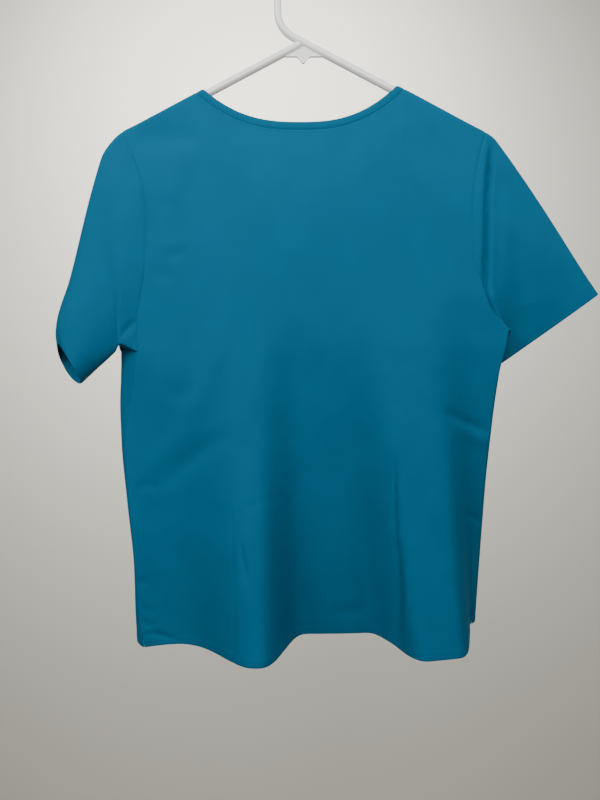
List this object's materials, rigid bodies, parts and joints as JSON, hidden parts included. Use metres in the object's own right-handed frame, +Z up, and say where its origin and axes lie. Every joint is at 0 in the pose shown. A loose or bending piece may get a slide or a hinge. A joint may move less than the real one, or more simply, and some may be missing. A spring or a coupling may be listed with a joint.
{
  "type": "scrub top on a hanger",
  "caption": "Short-sleeved medical scrub top with a bound neck and side vents, hanging from a tubular plastic clothes hanger.",
  "frame": {"origin": "inside top of the hanger's hook, where it hangs on a rod or a wall hook", "axes": "-Y is the way the garment's back faces, +X is to the right as one looks at that back, +Z is up"},
  "size_m": [0.6454, 0.1528, 0.7838],
  "materials": {
    "cloth": "matte, fine twill",
    "band_cloth": "matte, fine twill",
    "hanger_plastic": "glossy, moulded"
  },
  "bodies": {
    "root": {"back": "cloth", "front": "cloth", "sleeve_left": "cloth", "sleeve_right": "cloth", "neckband_back": "band_cloth", "neckband_front": "band_cloth", "hanger_hook": "hanger_plastic", "hanger_arm_left": "hanger_plastic", "hanger_arm_right": "hanger_plastic", "hanger_bar": "hanger_plastic", "hanger_plate": "hanger_plastic"}
  },
  "joints": []
}
